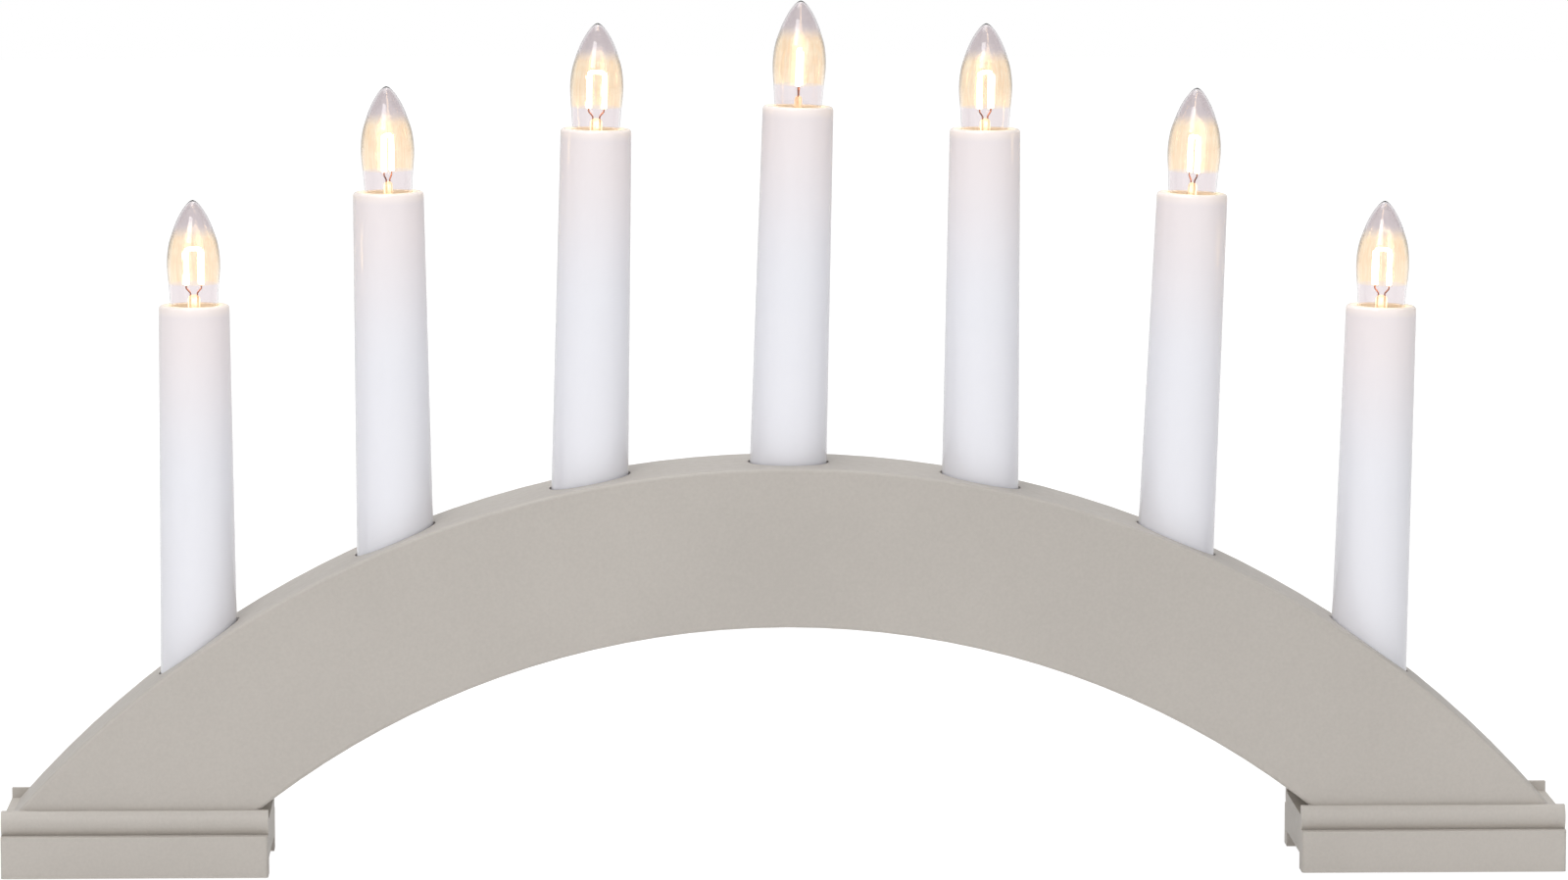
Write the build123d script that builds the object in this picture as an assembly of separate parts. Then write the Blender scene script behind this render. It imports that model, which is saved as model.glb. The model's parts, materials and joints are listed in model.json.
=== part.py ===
from build123d import *
import os
from math import asin, atan2, cos, degrees, radians, sin, sqrt

# Candle arch with seven electric candles, in millimetres.
# X runs along the arch, +Y points to the back, +Z is up.
# The origin is on the table, midway between the two feet.

# Arch board
arch_thickness = 32.2
arch_crown_height = 101.4
arch_crown_depth = 39.9
arch_end_length = 59.06            # of each end, where it stands in its foot
arch_end_setback = 1.96            # from the foot's outer end
arch_edge_round = 0.9
arch_edge_facets = 4

# Feet
overall_length = 390.0
foot_length = 66.2
foot_depth = 42.5
plinth_height = 10.4
bead_height = 5.9
bead_setback = 2.1
bead_quirk = 0.9
groove_depth = 2.5
groove_clearance = 0.05
recess_height = 4.0
rail_width = 6.4
foot_edge_round = 0.8

# Wiring channel in the underside of the arch, and its cover strip
channel_width = 10.0
channel_depth = 12.0
cover_width = 22.0
cover_thickness = 2.0
cover_clearance = 0.15

# Screws
cover_screw_diameter = 2.4
cover_screw_head_diameter = 4.6
cover_screw_length = 9.0
cover_screw_count = 6
cover_screw_spread_share = 0.816   # of the cover's arc, from the first screw to the last
foot_screw_diameter = 3.5
foot_screw_head_diameter = 7.0
foot_screw_length = 20.0
foot_screw_place_shares = (0.29, 0.56)   # from the foot's outer end, of its length
screw_tip_share = 1.2              # length of the point, in shank diameters
recess_width_share = 0.16          # cross recess, of the head's diameter
recess_reach_share = 0.6
recess_depth_share = 0.22

# Candles
candle_leans = (-0.3, -0.8, 1.1, 1.5, 0.5, 2.2, 1.4)   # degrees, top towards +X
candle_shift_shares = (0.011, 0.0145, 0.009, 0.021, 0.003, 0.009, 0.007)
# how far each bore sits from its even place, towards +X, of the candles' pitch
bulb_turns = (8.0, 62.0, 4.0, 84.0, 40.0, 115.0, 150.0)  # degrees about the candle
bore_clearance = 0.4
seat_depth = 12.0
seat_slope_share = 0.5             # extra seat depth, of the drop across the bore
wire_hole_diameter = 9.0

# Candle sleeve
sleeve_length = 101.0
sleeve_base_diameter = 19.5
sleeve_top_diameter = 17.6
sleeve_wall = 1.2
sleeve_lid_thickness = 1.3
sleeve_top_round = 0.9
sleeve_mouth_clearance = 0.3

# Lamp holder, the insulating tube inside each sleeve
holder_clearance = 0.2
holder_flange_thickness = 4.0
holder_spigot_length = 6.0
holder_spigot_clearance = 0.05
riser_outer_diameter = 10.0
riser_bore_diameter = 7.0
holder_floor_depth = 24.0          # top of the holder's floor, below the sleeve's top
holder_floor_thickness = 2.0
holder_cup_depth = 8.0             # rim of the holder's cup, below the sleeve's top

# Threaded cap and the shell that it screws into
thread_pitch = 1.81
cap_crest_diameter = 9.53
cap_root_diameter = 8.51
cap_sheet = 0.4
cap_top_depth = 7.0                # top of the cap, below the sleeve's top
cap_length = 10.0
cap_thread_margin = 1.6
thread_clearance = 0.12
thread_root_width_share = 0.56     # of the pitch
thread_crest_width_share = 0.26
thread_bite = 0.12
shell_sheet = 0.4
shell_top_margin = 0.6
tag_width = 1.4
tag_reach = 5.0                    # how far the solder tags hang below the floor's top

# Contact button under the bulb, and its coil spring
contact_head_diameter = 3.8
contact_head_thickness = 1.0
contact_stem_diameter = 1.8
contact_running_clearance = 0.05
contact_stop_diameter = 3.0
contact_stop_thickness = 1.0
contact_travel_margin = 0.3
spring_wire = 0.36
spring_coil_diameter = 2.9
spring_turns = 4
tail_place = (2.2, -1.2)           # across the holder's floor, in X and Y

# Bulb
bulb_height = 26.2                 # above the sleeve's top
bulb_diameter = 13.3
glass_wall = 0.5
neck_clearance = 0.1
neck_length = 3.0                  # cemented inside the cap
globe_outline_shares = (           # radius, height above the cap
    (0.75, 0.090),
    (0.882, 0.211),
    (0.935, 0.345),
    (1.0, 0.512),
    (0.935, 0.655),
    (0.765, 0.770),
    (0.565, 0.866),
    (0.345, 0.940),
    (0.205, 0.974),
    (0.092, 0.993),
)
glass_tip_wall = 0.9
stem_height = 0.8                  # tip of the glass stem, above the sleeve's top
stem_diameter = 3.0
stem_pinch_length = 5.5
stem_bore_diameter = 2.2
insulator_height = 1.7
insulator_tip_diameter = 4.2
solder_tip_diameter = 3.0
solder_tip_height = 0.8
solder_tip_flat_share = 0.6        # its flat end, of its diameter
lead_diameter = 0.4
lead_spacing = 1.7
lead_bend_radius = 0.6
lead_jog = 1.2                     # height of the slant below the filament rods
filament_diameter = 1.5
filament_length = 9.0
filament_spacing = 3.8
filament_base_height = 5.0         # above the sleeve's top
filament_bridge_diameter = 1.0

# Wires inside the arch
wire_diameter = 1.3
wire_height = 9.25                 # above the underside of the arch, in the channel
wire_foot_clearance = 0.075        # above the feet, below the outermost candles
wire_bend_radius = 4.0
wire_end_bend_radius = 2.0
feed_lane = 1.6                    # Y of the two feed wires
feed_riser_offset = 1.7            # X of a feed wire inside its holder
feed_end_run = 6.0

# Cable grommet at the back
inlet_arc_share = 0.893            # along the channel, from the crown to the foot
grommet_body_diameter = 6.0
grommet_bore_diameter = 4.2
grommet_flange_diameter = 9.2
grommet_flange_thickness = 1.4
grommet_flange_round = 0.5

# Shared by all cuts
overrun = 5.0


def arc_radius(half_span, rise):
    """Radius of an arc from its half span and its rise."""
    return (half_span**2 + rise**2) / (2 * rise)


# Places worked out from the sizes above
candle_count = len(candle_leans)
foot_centre = (overall_length - foot_length) / 2
rail_top = plinth_height + bead_height
arch_base = rail_top - groove_depth
outer_half_span = overall_length / 2 - arch_end_setback
inner_half_span = outer_half_span - arch_end_length
inner_crown_height = arch_crown_height - arch_crown_depth
arch_outer_radius = arc_radius(outer_half_span, arch_crown_height - arch_base)
arch_inner_radius = arc_radius(inner_half_span, inner_crown_height - arch_base)
outer_centre = arch_crown_height - arch_outer_radius
inner_centre = inner_crown_height - arch_inner_radius
inner_end_angle = degrees(asin(inner_half_span / arch_inner_radius))
channel_middle_radius = arch_inner_radius + (cover_thickness + channel_depth) / 2
wire_radius = arch_inner_radius + wire_height
lowest_wire = arch_base + wire_foot_clearance + wire_diameter / 2
outermost_candle = sqrt(wire_radius**2 - (lowest_wire - inner_centre)**2)
candle_pitch = outermost_candle / ((candle_count - 1) / 2 + candle_shift_shares[-1])
bore_diameter = sleeve_base_diameter + 2 * bore_clearance
floor_top = sleeve_length - holder_floor_depth
cup_top = sleeve_length - holder_cup_depth
cap_top = sleeve_length - cap_top_depth
cap_base = cap_top - cap_length
shell_base = floor_top
shell_top = cup_top - shell_top_margin
shell_crest_radius = cap_root_diameter / 2 + thread_clearance
shell_root_radius = cap_crest_diameter / 2 + thread_clearance
shell_outer_radius = shell_root_radius + shell_sheet
solder_tip_base = cap_base - insulator_height - solder_tip_height
neck_radius = cap_root_diameter / 2 - cap_sheet - neck_clearance
lead_shelf = (cap_base + cap_sheet + cap_top - neck_length) / 2
globe_base = cap_top
globe_height = sleeve_length + bulb_height - globe_base
tag_base = floor_top - tag_reach
filament_base = sleeve_length + filament_base_height
stem_top = sleeve_length + stem_height
tail_x, tail_y = tail_place


def height_on(radius, centre, x):
    """Height of a circle about (0, centre) above the place x."""
    return centre + sqrt(radius**2 - x**2)


def turned(*points):
    """Solid turned about Z from an outline of (radius, height) points."""
    outline = Polyline(*[(r, 0, z) for r, z in points], close=True)
    return revolve(make_face(outline), Axis.Z)


def rod(radius, low, high, x=0.0, y=0.0):
    """Upright cylinder between two heights."""
    cylinder = Cylinder(radius, high - low, align=(Align.CENTER, Align.CENTER, Align.MIN))
    return Pos(x, y, low) * cylinder


def ring_slab(inner_radius, outer_radius, centre, width):
    """Full ring standing in the XZ plane, centred on Y zero."""
    ring = Circle(outer_radius) - Circle(inner_radius)
    return extrude(Plane.XZ * Pos(0, centre) * ring, width / 2, both=True)


def above(height):
    """Block that holds all of the board above a height."""
    return Pos(0, 0, height) * Box(overall_length, arch_thickness + overrun,
                                   arch_crown_height,
                                   align=(Align.CENTER, Align.CENTER, Align.MIN))


def tube(path, diameter):
    """Round wire along a path."""
    section = Plane(origin=path @ 0, z_dir=path % 0) * Circle(diameter / 2)
    return sweep(section, path)


def thread_ridge(root_radius, crest_radius, low, high, phase):
    """Right-handed helical ridge between two heights, turned by phase degrees."""
    half_root = thread_pitch * thread_root_width_share / 2
    half_crest = thread_pitch * thread_crest_width_share / 2
    corners = ((root_radius, -half_root), (root_radius, half_root),
               (crest_radius, half_crest), (crest_radius, -half_crest))
    rails = []
    for radius, offset in corners:
        rails.append(Pos(0, 0, low + offset) * Helix(thread_pitch, high - low, radius))
    faces = []
    for rail, following in zip(rails, rails[1:] + rails[:1]):
        faces.append(Face.make_surface_from_curves(rail.edge(), following.edge()))
    for end in (0, 1):
        faces.append(make_face(Polyline(*[rail @ end for rail in rails], close=True)).face())
    return Rot(0, 0, phase) * Solid(Shell(faces))


def screw(head_diameter, shank_diameter, length):
    """Countersunk wood screw pointing up, its head's face at height zero."""
    head = head_diameter / 2
    shank = shank_diameter / 2
    cone = head - shank
    point = shank_diameter * screw_tip_share
    return turned((0, 0), (head, 0), (shank, cone), (shank, length - point), (0, length))


def cross_recess(head_diameter):
    """Cross-shaped recess for a screwdriver."""
    reach = head_diameter * recess_reach_share
    width = head_diameter * recess_width_share
    depth = head_diameter * recess_depth_share
    arm = Box(reach, width, depth, align=(Align.CENTER, Align.CENTER, Align.MIN))
    return arm + Rot(0, 0, 90) * arm


# Places of the candles, screws and inlet

def candle_x(index):
    return (index - (candle_count - 1) / 2 + candle_shift_shares[index]) * candle_pitch


def candle_frame(index):
    """Place of a candle: on the floor of its bore, Z along the candle."""
    x = candle_x(index)
    slope = abs(asin(x / arch_outer_radius))
    drop = bore_diameter / 2 * sin(slope) / cos(slope)
    depth = seat_depth + seat_slope_share * drop
    surface = height_on(arch_outer_radius, outer_centre, x)
    lean = candle_leans[index]
    seat_x = x - depth * sin(radians(lean))
    return Location((seat_x, 0, surface - depth), (0, lean, 0))


def candle_point(index, x, y, z):
    """Place in the arch of a point given in a candle's own frame."""
    return (candle_frame(index) * Pos(x, y, z)).position


def foot_screw_frames():
    frames = []
    for side in (-1, 1):
        for share in foot_screw_place_shares:
            x = side * (overall_length / 2 - share * foot_length)
            frames.append(Pos(x, 0, recess_height))
    return frames


def cover_screw_frames():
    """Screws along the cover strip, to its front and back in turn."""
    lane = (channel_width + cover_width) / 4
    frames = []
    for index in range(cover_screw_count):
        spread = 2 * inner_end_angle * cover_screw_spread_share
        angle = spread * (index / (cover_screw_count - 1) - 1 / 2)
        side = 1 if index % 2 else -1
        turn = Pos(0, 0, inner_centre) * Rot(0, angle, 0)
        frames.append(turn * Pos(0, side * lane, arch_inner_radius))
    return frames


def inlet_place():
    angle = radians(inner_end_angle * inlet_arc_share)
    x = -channel_middle_radius * sin(angle)
    z = inner_centre + channel_middle_radius * cos(angle)
    return x, z


# Arch and feet

def board_disc(radius, centre, sense):
    """Upright disc as thick as the board, its rims rounded off (1) or flared (-1)."""
    half = arch_thickness / 2
    middle = radius - sense * arch_edge_round
    profile = [(0, -half)]
    for side in (-1, 1):
        for step in range(arch_edge_facets + 1):
            share = step / arch_edge_facets
            angle = radians(90) * (share if side > 0 else share - 1)
            profile.append((middle + sense * arch_edge_round * cos(angle),
                            side * (half - arch_edge_round) + arch_edge_round * sin(angle)))
    profile.append((0, half))
    outline = Polyline(*[(r, y, centre) for r, y in profile], close=True)
    return revolve(make_face(outline), Axis((0, 0, centre), (0, 1, 0)))


def make_arch():
    """Curved board, its ends cut level where they stand in the feet."""
    board = board_disc(arch_outer_radius, outer_centre, 1)
    board -= board_disc(arch_inner_radius, inner_centre, -1)
    arch = board & above(arch_base)
    channel_top = arch_inner_radius + channel_depth
    arch -= ring_slab(arch_inner_radius - overrun, channel_top, inner_centre, channel_width)
    cover_top = arch_inner_radius + cover_thickness
    arch -= ring_slab(arch_inner_radius - overrun, cover_top, inner_centre, cover_width)
    for index in range(candle_count):
        frame = candle_frame(index)
        seat_z = frame.position.Z
        bore = rod(bore_diameter / 2, 0, arch_crown_depth + overrun)
        x = candle_x(index)
        below = max(height_on(channel_middle_radius, inner_centre, x), arch_base - overrun)
        hole = rod(wire_hole_diameter / 2, below - seat_z, overrun)
        arch -= frame * (bore + hole)
    for frame in foot_screw_frames():
        arch -= frame * screw(foot_screw_head_diameter, foot_screw_diameter, foot_screw_length)
    for frame in cover_screw_frames():
        arch -= frame * screw(cover_screw_head_diameter, cover_screw_diameter,
                              cover_screw_length)
    x, z = inlet_place()
    inlet = rod(grommet_body_diameter / 2, 0, arch_thickness / 2 + overrun)
    arch -= Pos(x, 0, z) * Rot(-90, 0, 0) * inlet
    return arch.solid()


def make_foot(side):
    """Moulded foot: plinth and bead front and back, groove above, recess below."""
    front = -foot_depth / 2
    groove_edge = -(arch_thickness / 2 + groove_clearance)
    bead_face = front + bead_setback
    bead_foot = bead_face + bead_quirk
    bead_middle = plinth_height + bead_height / 2
    bead_crown = (groove_edge + bead_face) / 2
    recess_edge = front + rail_width
    half = Polyline((0, 0, recess_height), (0, recess_edge, recess_height),
                    (0, recess_edge, 0), (0, front, 0), (0, front, plinth_height),
                    (0, bead_foot, plinth_height))
    lower_bead = ThreePointArc((0, bead_foot, plinth_height),
                               (0, bead_face, bead_middle),
                               (0, bead_crown, rail_top))
    top = Polyline((0, bead_crown, rail_top), (0, groove_edge, rail_top),
                   (0, groove_edge, arch_base), (0, 0, arch_base), (0, 0, recess_height))
    face = make_face(Curve() + [half, lower_bead, top])
    half_foot = extrude(face, foot_length / 2, both=True, dir=(1, 0, 0))
    foot = half_foot + mirror(half_foot, Plane.XZ)
    ends = foot.edges().filter_by(GeomType.LINE).filter_by(Axis.Z)
    corners = ends.filter_by(lambda edge: abs(abs(edge.center().Y) + front) < foot_edge_round)
    foot = fillet(corners, foot_edge_round)
    foot = Pos(side * foot_centre, 0, 0) * foot
    for frame in foot_screw_frames():
        foot -= frame * screw(foot_screw_head_diameter, foot_screw_diameter, foot_screw_length)
    return foot.solid()


def make_channel_cover():
    """Curved strip that closes the wiring channel, its ends tucked into the feet."""
    inner = arch_inner_radius
    outer = inner + cover_thickness - cover_clearance
    strip = ring_slab(inner, outer, inner_centre, cover_width - 2 * cover_clearance)
    strip = strip & above(arch_base + cover_clearance)
    for frame in cover_screw_frames():
        strip -= frame * screw(cover_screw_head_diameter, cover_screw_diameter,
                               cover_screw_length)
    return strip.solid()


def make_screws(frames, head_diameter, shank_diameter, length):
    """Identical screws as one group."""
    body = screw(head_diameter, shank_diameter, length) - cross_recess(head_diameter)
    return Compound([frame * body.solid() for frame in frames])


def make_grommet():
    """Bush that lines the cable inlet, its flange against the back of the arch."""
    x, z = inlet_place()
    inner_end = channel_width / 2
    back = arch_thickness / 2
    outer_end = back + grommet_flange_thickness
    bush = turned((grommet_bore_diameter / 2, inner_end), (grommet_body_diameter / 2, inner_end),
                  (grommet_body_diameter / 2, back), (grommet_flange_diameter / 2, back),
                  (grommet_flange_diameter / 2, outer_end),
                  (grommet_bore_diameter / 2, outer_end))
    rim = bush.edges().filter_by(GeomType.CIRCLE).group_by(Axis.Z)[-1].sort_by(SortBy.RADIUS)[-1]
    bush = fillet(rim, grommet_flange_round)
    return Pos(x, 0, z) * Rot(-90, 0, 0) * bush.solid()


# Pieces of one candle, each in the candle's own frame

def sleeve_inner_radius(height):
    taper = (sleeve_base_diameter - sleeve_top_diameter) / 2
    return sleeve_base_diameter / 2 - taper * height / sleeve_length - sleeve_wall


def globe_line(neck, wall, tip_wall):
    """Outline of the globe from its neck to its tip, inside by the given walls."""
    radius = bulb_diameter / 2 - wall
    height = globe_height - tip_wall
    points = [(neck, 0, globe_base)]
    for radius_share, height_share in globe_outline_shares:
        points.append((radius_share * radius, 0, globe_base + height_share * height))
    points.append((0, 0, globe_base + height))
    return Spline(*points, tangents=[(0, 0, 1), (-1, 0, 0)])


def rim_radius_of_globe():
    """Radius of the globe about where it passes the sleeve's top."""
    return globe_outline_shares[1][0] * bulb_diameter / 2


def make_sleeve():
    """Tapered white tube, closed at the top but for the bulb's mouth."""
    mouth = rim_radius_of_globe() + sleeve_mouth_clearance
    lid = sleeve_length - sleeve_lid_thickness
    sleeve = turned((sleeve_inner_radius(0), 0), (sleeve_base_diameter / 2, 0),
                    (sleeve_top_diameter / 2, sleeve_length), (mouth, sleeve_length),
                    (mouth, lid), (sleeve_inner_radius(lid), lid))
    rims = sleeve.edges().filter_by(GeomType.CIRCLE).group_by(Axis.Z)[-1]
    sleeve = fillet(rims.sort_by(SortBy.RADIUS)[-1], sleeve_top_round)
    return sleeve.solid()


def make_lamp_holder():
    """Insulating tube: spigot, flange, riser and the cup for the threaded shell."""
    riser = riser_outer_diameter / 2
    bore = riser_bore_diameter / 2
    flange = sleeve_inner_radius(0) - holder_clearance
    spigot = wire_hole_diameter / 2 - holder_spigot_clearance
    cup = sleeve_inner_radius(cup_top) - holder_clearance
    floor_base = floor_top - holder_floor_thickness
    cup_base = floor_base - (cup - riser)
    holder = turned((bore, -holder_spigot_length), (spigot, -holder_spigot_length), (spigot, 0),
                    (flange, 0), (flange, holder_flange_thickness),
                    (riser, holder_flange_thickness), (riser, cup_base), (cup, floor_base),
                    (cup, cup_top), (shell_outer_radius, cup_top),
                    (shell_outer_radius, floor_top), (0, floor_top), (0, floor_base),
                    (bore, floor_base))
    stem = contact_stem_diameter / 2 + contact_running_clearance
    holder -= rod(stem, floor_base - overrun, floor_top + overrun)
    holder -= rod(spring_wire / 2, floor_base - overrun, floor_top + overrun, tail_x, tail_y)
    holder -= make_tag_drop()
    return holder.solid()


def make_tag_drop():
    """Part of the shell's solder tag that passes down through the holder's floor."""
    return Pos(-tail_x, tail_y, tag_base) * Box(
        shell_sheet, tag_width, floor_top - tag_base,
        align=(Align.CENTER, Align.CENTER, Align.MIN))


def make_socket_shell():
    """Threaded metal shell with the solder tag on its foot."""
    shell = turned((shell_root_radius, shell_base), (shell_outer_radius, shell_base),
                   (shell_outer_radius, shell_top), (shell_root_radius, shell_top))
    low = cap_base + cap_thread_margin
    high = cap_top - cap_thread_margin
    shell += thread_ridge(shell_root_radius + thread_bite, shell_crest_radius, low, high, 180)
    reach = shell_root_radius - tail_x + thread_bite
    middle = -(tail_x + shell_root_radius + thread_bite) / 2
    foot = Pos(middle, tail_y, shell_base) * Box(
        reach + shell_sheet, tag_width, shell_sheet,
        align=(Align.CENTER, Align.CENTER, Align.MIN))
    foot &= rod(shell_outer_radius, shell_base, shell_top)
    return (shell + foot + make_tag_drop()).solid()


def make_contact():
    """Contact button on a stem that slides in the holder's floor."""
    stop_top = floor_top - holder_floor_thickness - thread_pitch - contact_travel_margin
    stop_base = stop_top - contact_stop_thickness
    stem = contact_stem_diameter / 2
    head = contact_head_diameter / 2
    stop = contact_stop_diameter / 2
    head_base = solder_tip_base - contact_head_thickness
    return turned((0, stop_base), (stop, stop_base), (stop, stop_top), (stem, stop_top),
                  (stem, head_base), (head, head_base), (head, solder_tip_base),
                  (0, solder_tip_base)).solid()


def make_contact_spring():
    """Coil spring between the holder's floor and the button, with a tail to solder to."""
    low = floor_top + spring_wire / 2
    high = solder_tip_base - contact_head_thickness - spring_wire / 2
    coil_radius = spring_coil_diameter / 2
    coil_path = Helix((high - low) / spring_turns, high - low, coil_radius)
    coil_path = Pos(0, 0, low) * Rot(0, 0, degrees(atan2(tail_y, tail_x))) * coil_path
    coil = tube(coil_path, spring_wire)
    reach = sqrt(tail_x**2 + tail_y**2)
    start = coil_path @ 0
    knee = Vector(tail_x, tail_y, low)
    bridge = Plane(origin=start, z_dir=knee - start) * Circle(spring_wire / 2)
    bridge = extrude(bridge, reach - coil_radius)
    tail = rod(spring_wire / 2, tag_base, low, tail_x, tail_y)
    knuckle = Pos(knee) * Sphere(spring_wire / 2)
    return (coil + bridge + tail + knuckle).solid()


def make_bulb_cap():
    """Threaded metal cap around the neck of the globe."""
    root = cap_root_diameter / 2
    cap = turned((root - cap_sheet, cap_base), (root, cap_base), (root, cap_top),
                 (root - cap_sheet, cap_top))
    low = cap_base + cap_thread_margin
    high = cap_top - cap_thread_margin
    return (cap + thread_ridge(root - thread_bite, cap_crest_diameter / 2, low, high, 0)).solid()


def make_bulb_insulator():
    """Dark disc that closes the cap and carries the solder tip."""
    seat = cap_root_diameter / 2 - cap_sheet
    base = cap_base - insulator_height
    wire = lead_diameter / 2
    return turned((wire, base), (insulator_tip_diameter / 2, base),
                  (cap_root_diameter / 2, cap_base), (seat, cap_base),
                  (seat, cap_base + cap_sheet), (wire, cap_base + cap_sheet)).solid()


def lead_path(side):
    """Route of one lead wire, from the cap up to the foot of a filament rod."""
    inner = side * lead_spacing / 2
    outer = side * filament_spacing / 2
    bend_high = filament_base - 2 * lead_diameter
    bend_low = bend_high - lead_jog
    if side < 0:
        foot = (0, 0, solder_tip_base + solder_tip_height / 2)
        knee = (0, 0, lead_shelf)
        turn = (inner, 0, globe_base - neck_length)
        low_points = [foot, knee, turn]
    else:
        wall = sqrt((cap_root_diameter / 2 - cap_sheet)**2 - (lead_diameter / 2)**2)
        low_points = [(wall, 0, lead_shelf), (inner, 0, lead_shelf)]
    points = low_points + [(inner, 0, bend_low), (outer, 0, bend_high), (outer, 0, filament_base)]
    return FilletPolyline(*points, radius=lead_bend_radius)


def make_bulb_leads():
    """Two lead wires; the first ends in the solder tip under the insulator."""
    tip_radius = solder_tip_diameter / 2
    tip = turned((0, solder_tip_base), (tip_radius * solder_tip_flat_share, solder_tip_base),
                 (tip_radius, solder_tip_base + solder_tip_height),
                 (0, solder_tip_base + solder_tip_height))
    first = tube(lead_path(-1), lead_diameter) + tip
    second = tube(lead_path(1), lead_diameter)
    return [first.solid(), second.solid()]


def make_bulb_globe():
    """Clear candle-shaped globe, closed below by the stem that carries the leads."""
    tip = sleeve_length + bulb_height
    neck_base = globe_base - neck_length
    inner_neck = neck_radius - glass_wall
    stem = stem_diameter / 2
    stem_bore = stem_bore_diameter / 2
    pinch_base = stem_top - stem_pinch_length
    outer_line = globe_line(neck_radius, 0, 0)
    inner_line = globe_line(inner_neck, glass_wall, glass_tip_wall)
    below = Polyline((neck_radius, 0, globe_base), (neck_radius, 0, neck_base),
                     (inner_neck, 0, neck_base), (stem_bore, 0, pinch_base),
                     (0, 0, pinch_base), (0, 0, stem_top), (stem, 0, stem_top),
                     (stem, 0, pinch_base), (inner_neck, 0, globe_base))
    crown = Line((0, 0, tip - glass_tip_wall), (0, 0, tip))
    glass = revolve(make_face(Curve() + [outer_line, crown, inner_line, below]), Axis.Z)
    for side in (-1, 1):
        glass -= tube(lead_path(side), lead_diameter)
    return glass.solid()


def make_bulb_filament():
    """Two upright light rods joined at their tops."""
    rods = []
    top = filament_base + filament_length
    for side in (-1, 1):
        x = side * filament_spacing / 2
        rods.append(rod(filament_diameter / 2, filament_base, top, x).solid())
    bridge = Cylinder(filament_bridge_diameter / 2, filament_spacing, rotation=(0, 90, 0))
    bridge = Pos(0, 0, top + filament_bridge_diameter / 2) * bridge
    return rods + [bridge.solid()]


# Wires inside the arch

def channel_point(x, y):
    return Vector(x, y, height_on(wire_radius, inner_centre, x))


def candle_foot(index, x, y):
    """Place in the channel where a wire that follows the candle's line turns."""
    drop = candle_frame(index).position.Z - channel_point(candle_x(index), y).Z
    return channel_point(candle_point(index, x, y, -drop).X, y)


def link_wire(index):
    """Wire from the spring tail of one candle to the shell tag of the next."""
    start = candle_point(index, tail_x, tail_y, tag_base)
    end = candle_point(index + 1, -tail_x, tail_y, tag_base)
    path = FilletPolyline(start, candle_foot(index, tail_x, tail_y),
                          candle_foot(index + 1, -tail_x, tail_y), end,
                          radius=wire_bend_radius)
    return tube(path, wire_diameter).solid()


def feed_wire(index, side):
    """Wire from the cable inlet along the channel to the first or last candle."""
    inlet_x, inlet_z = inlet_place()
    start_x = inlet_x + side * wire_diameter
    start = Vector(start_x, channel_width / 2, inlet_z)
    first = Vector(start_x, feed_lane, inlet_z)
    between = []
    for other in range(candle_count):
        x = candle_x(other)
        if side * (x - inlet_x) > candle_pitch / 2 and other != index:
            between.append(channel_point(x, feed_lane))
    riser_x = side * feed_riser_offset
    tag_x = side * tail_x
    points = [start, first, *between, candle_foot(index, riser_x, feed_lane),
              candle_point(index, riser_x, feed_lane, tag_base - 2 * feed_end_run),
              candle_point(index, tag_x, tail_y, tag_base - feed_end_run),
              candle_point(index, tag_x, tail_y, tag_base)]
    radii = [wire_end_bend_radius] + [wire_bend_radius] * (len(between) + 1)
    radii += [wire_end_bend_radius] * 2
    return tube(FilletPolyline(*points, radius=radii), wire_diameter).solid()


def make_internal_wires():
    wires = [link_wire(index) for index in range(candle_count - 1)]
    wires.append(feed_wire(0, -1))
    wires.append(feed_wire(candle_count - 1, 1))
    return Compound(wires)


# All nodes

def in_each_candle(piece):
    """The same piece in every candle, as one group."""
    return Compound([candle_frame(index) * piece for index in range(candle_count)])


def make_nodes():
    nodes = {
        "arch": make_arch(),
        "foot_left": make_foot(-1),
        "foot_right": make_foot(1),
        "channel_cover": make_channel_cover(),
        "cover_screws": make_screws(cover_screw_frames(), cover_screw_head_diameter,
                                    cover_screw_diameter, cover_screw_length),
        "foot_screws": make_screws(foot_screw_frames(), foot_screw_head_diameter,
                                   foot_screw_diameter, foot_screw_length),
        "cable_grommet": make_grommet(),
        "internal_wires": make_internal_wires(),
        "lamp_holders": in_each_candle(make_lamp_holder()),
        "socket_shells": in_each_candle(make_socket_shell()),
        "contact_springs": in_each_candle(make_contact_spring()),
    }
    sleeve = make_sleeve()
    contact = make_contact()
    cap = make_bulb_cap()
    turned_pieces = {
        "bulb_globe": [make_bulb_globe()],
        "bulb_insulator": [make_bulb_insulator()],
        "bulb_leads": make_bulb_leads(),
        "bulb_filament": make_bulb_filament(),
    }
    for index in range(candle_count):
        frame = candle_frame(index)
        number = index + 1
        nodes[f"candle_sleeve_{number}"] = frame * sleeve
        nodes[f"contact_{number}"] = frame * contact
        nodes[f"bulb_cap_{number}"] = frame * cap
        turn = frame * Rot(0, 0, bulb_turns[index])
        for name, solids in turned_pieces.items():
            nodes[f"{name}_{number}"] = Compound([turn * solid for solid in solids])
    return nodes


os.makedirs("parts", exist_ok=True)
for node_name, shape in make_nodes().items():
    export_step(shape, f"parts/{node_name}.step")
    print(node_name, round(shape.volume, 3))
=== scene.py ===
import json
from math import cos, pi, radians, sin

import bmesh
import bpy
from mathutils import Matrix, Vector


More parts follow.
